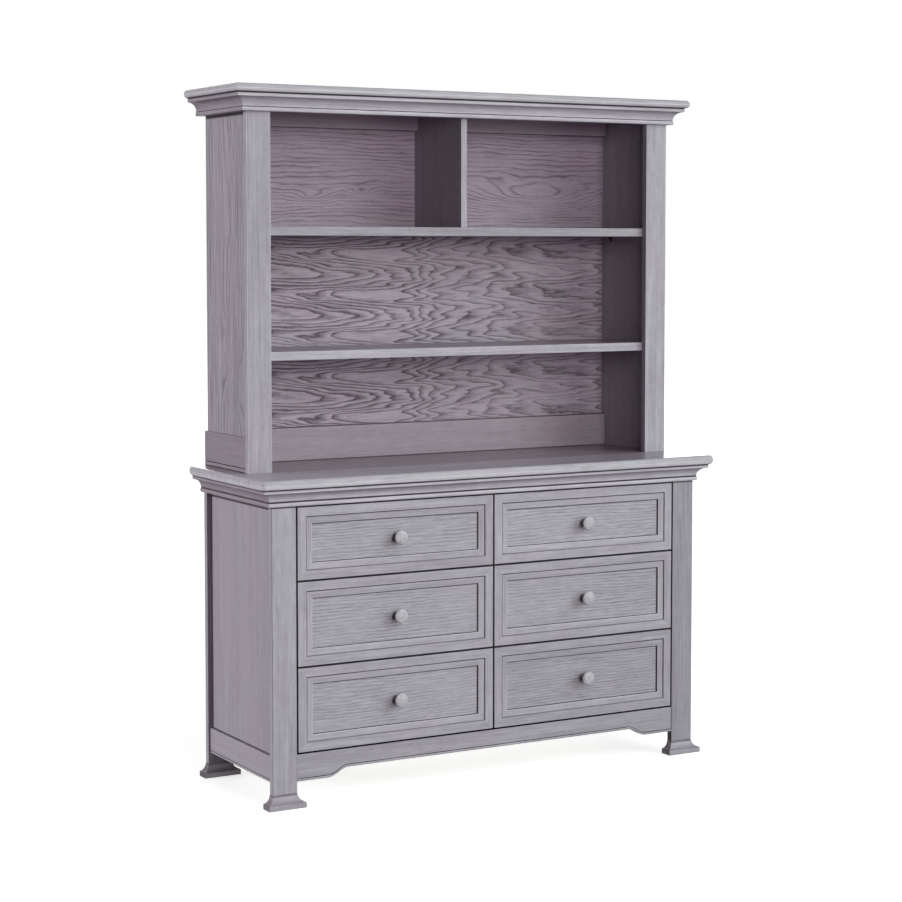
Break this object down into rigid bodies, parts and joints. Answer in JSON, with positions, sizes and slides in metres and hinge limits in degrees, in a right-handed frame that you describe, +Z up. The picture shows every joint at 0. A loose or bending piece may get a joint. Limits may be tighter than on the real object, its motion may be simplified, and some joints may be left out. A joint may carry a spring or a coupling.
{
  "type": "dresser with hutch",
  "caption": "Low, wide dresser with two columns of drawers on round knobs, flared feet and a raised apron, and an open hutch with shelves and a coved crown on its top.",
  "frame": {"origin": "on the floor, midway between the two ends, and midway between the dresser top's front edge and the back", "axes": "+X to the right as seen from the front, +Y from the front to the back, +Z up"},
  "size_m": [1.4, 0.465, 1.833],
  "materials": {
    "face_wood": "grey wash over fine straight grain, satin",
    "side_wood": "grey wash over upright grain, satin",
    "back_wood": "mauve-grey wash over bold level grain, matte",
    "knob_wood": "grey wash, satin, turned",
    "drawer_wood": "pale bare wood, sealed",
    "hidden_wood": "bare wood, unfinished"
  },
  "bodies": {
    "carcase": {"leg_front_left": "face_wood", "leg_front_right": "face_wood", "leg_back_left": "face_wood", "leg_back_right": "face_wood", "foot_front_left": "face_wood", "foot_front_right": "face_wood", "foot_back_left": "face_wood", "foot_back_right": "face_wood", "side_panel_left": "side_wood", "side_panel_right": "side_wood", "side_rail_left": "side_wood", "side_rail_right": "side_wood", "front_apron": "face_wood", "top_frame": "hidden_wood", "dust_frame_bottom": "hidden_wood", "dust_frame_lower": "hidden_wood", "dust_frame_upper": "hidden_wood", "centre_partition": "hidden_wood", "dresser_back": "back_wood", "dresser_top": "face_wood", "top_moulding": "face_wood", "hutch_stile_left": "face_wood", "hutch_stile_right": "face_wood", "hutch_header": "face_wood", "hutch_side_left": "side_wood", "hutch_side_right": "side_wood", "hutch_side_rail_left": "side_wood", "hutch_side_rail_right": "side_wood", "hutch_back": "back_wood", "hutch_back_rail_lower": "back_wood", "hutch_back_rail_upper": "back_wood", "hutch_shelf_lower": "face_wood", "hutch_shelf_upper": "face_wood", "hutch_divider": "face_wood", "hutch_top": "face_wood", "crown_moulding": "face_wood"},
    "drawer_bottom_left": {"drawer_bottom_left_front": "face_wood", "drawer_bottom_left_box": "drawer_wood", "drawer_bottom_left_bottom": "drawer_wood", "drawer_bottom_left_knob": "knob_wood"},
    "drawer_bottom_right": {"drawer_bottom_right_front": "face_wood", "drawer_bottom_right_box": "drawer_wood", "drawer_bottom_right_bottom": "drawer_wood", "drawer_bottom_right_knob": "knob_wood"},
    "drawer_middle_left": {"drawer_middle_left_front": "face_wood", "drawer_middle_left_box": "drawer_wood", "drawer_middle_left_bottom": "drawer_wood", "drawer_middle_left_knob": "knob_wood"},
    "drawer_middle_right": {"drawer_middle_right_front": "face_wood", "drawer_middle_right_box": "drawer_wood", "drawer_middle_right_bottom": "drawer_wood", "drawer_middle_right_knob": "knob_wood"},
    "drawer_top_left": {"drawer_top_left_front": "face_wood", "drawer_top_left_box": "drawer_wood", "drawer_top_left_bottom": "drawer_wood", "drawer_top_left_knob": "knob_wood"},
    "drawer_top_right": {"drawer_top_right_front": "face_wood", "drawer_top_right_box": "drawer_wood", "drawer_top_right_bottom": "drawer_wood", "drawer_top_right_knob": "knob_wood"}
  },
  "joints": [
    {"name": "drawer_bottom_left_slide", "type": "slide", "parent": "carcase", "child": "drawer_bottom_left", "axis": [0, -1, 0], "range_m": [0, 0.3]},
    {"name": "drawer_bottom_right_slide", "type": "slide", "parent": "carcase", "child": "drawer_bottom_right", "axis": [0, -1, 0], "range_m": [0, 0.3]},
    {"name": "drawer_middle_left_slide", "type": "slide", "parent": "carcase", "child": "drawer_middle_left", "axis": [0, -1, 0], "range_m": [0, 0.3]},
    {"name": "drawer_middle_right_slide", "type": "slide", "parent": "carcase", "child": "drawer_middle_right", "axis": [0, -1, 0], "range_m": [0, 0.3]},
    {"name": "drawer_top_left_slide", "type": "slide", "parent": "carcase", "child": "drawer_top_left", "axis": [0, -1, 0], "range_m": [0, 0.3]},
    {"name": "drawer_top_right_slide", "type": "slide", "parent": "carcase", "child": "drawer_top_right", "axis": [0, -1, 0], "range_m": [0, 0.3]}
  ]
}
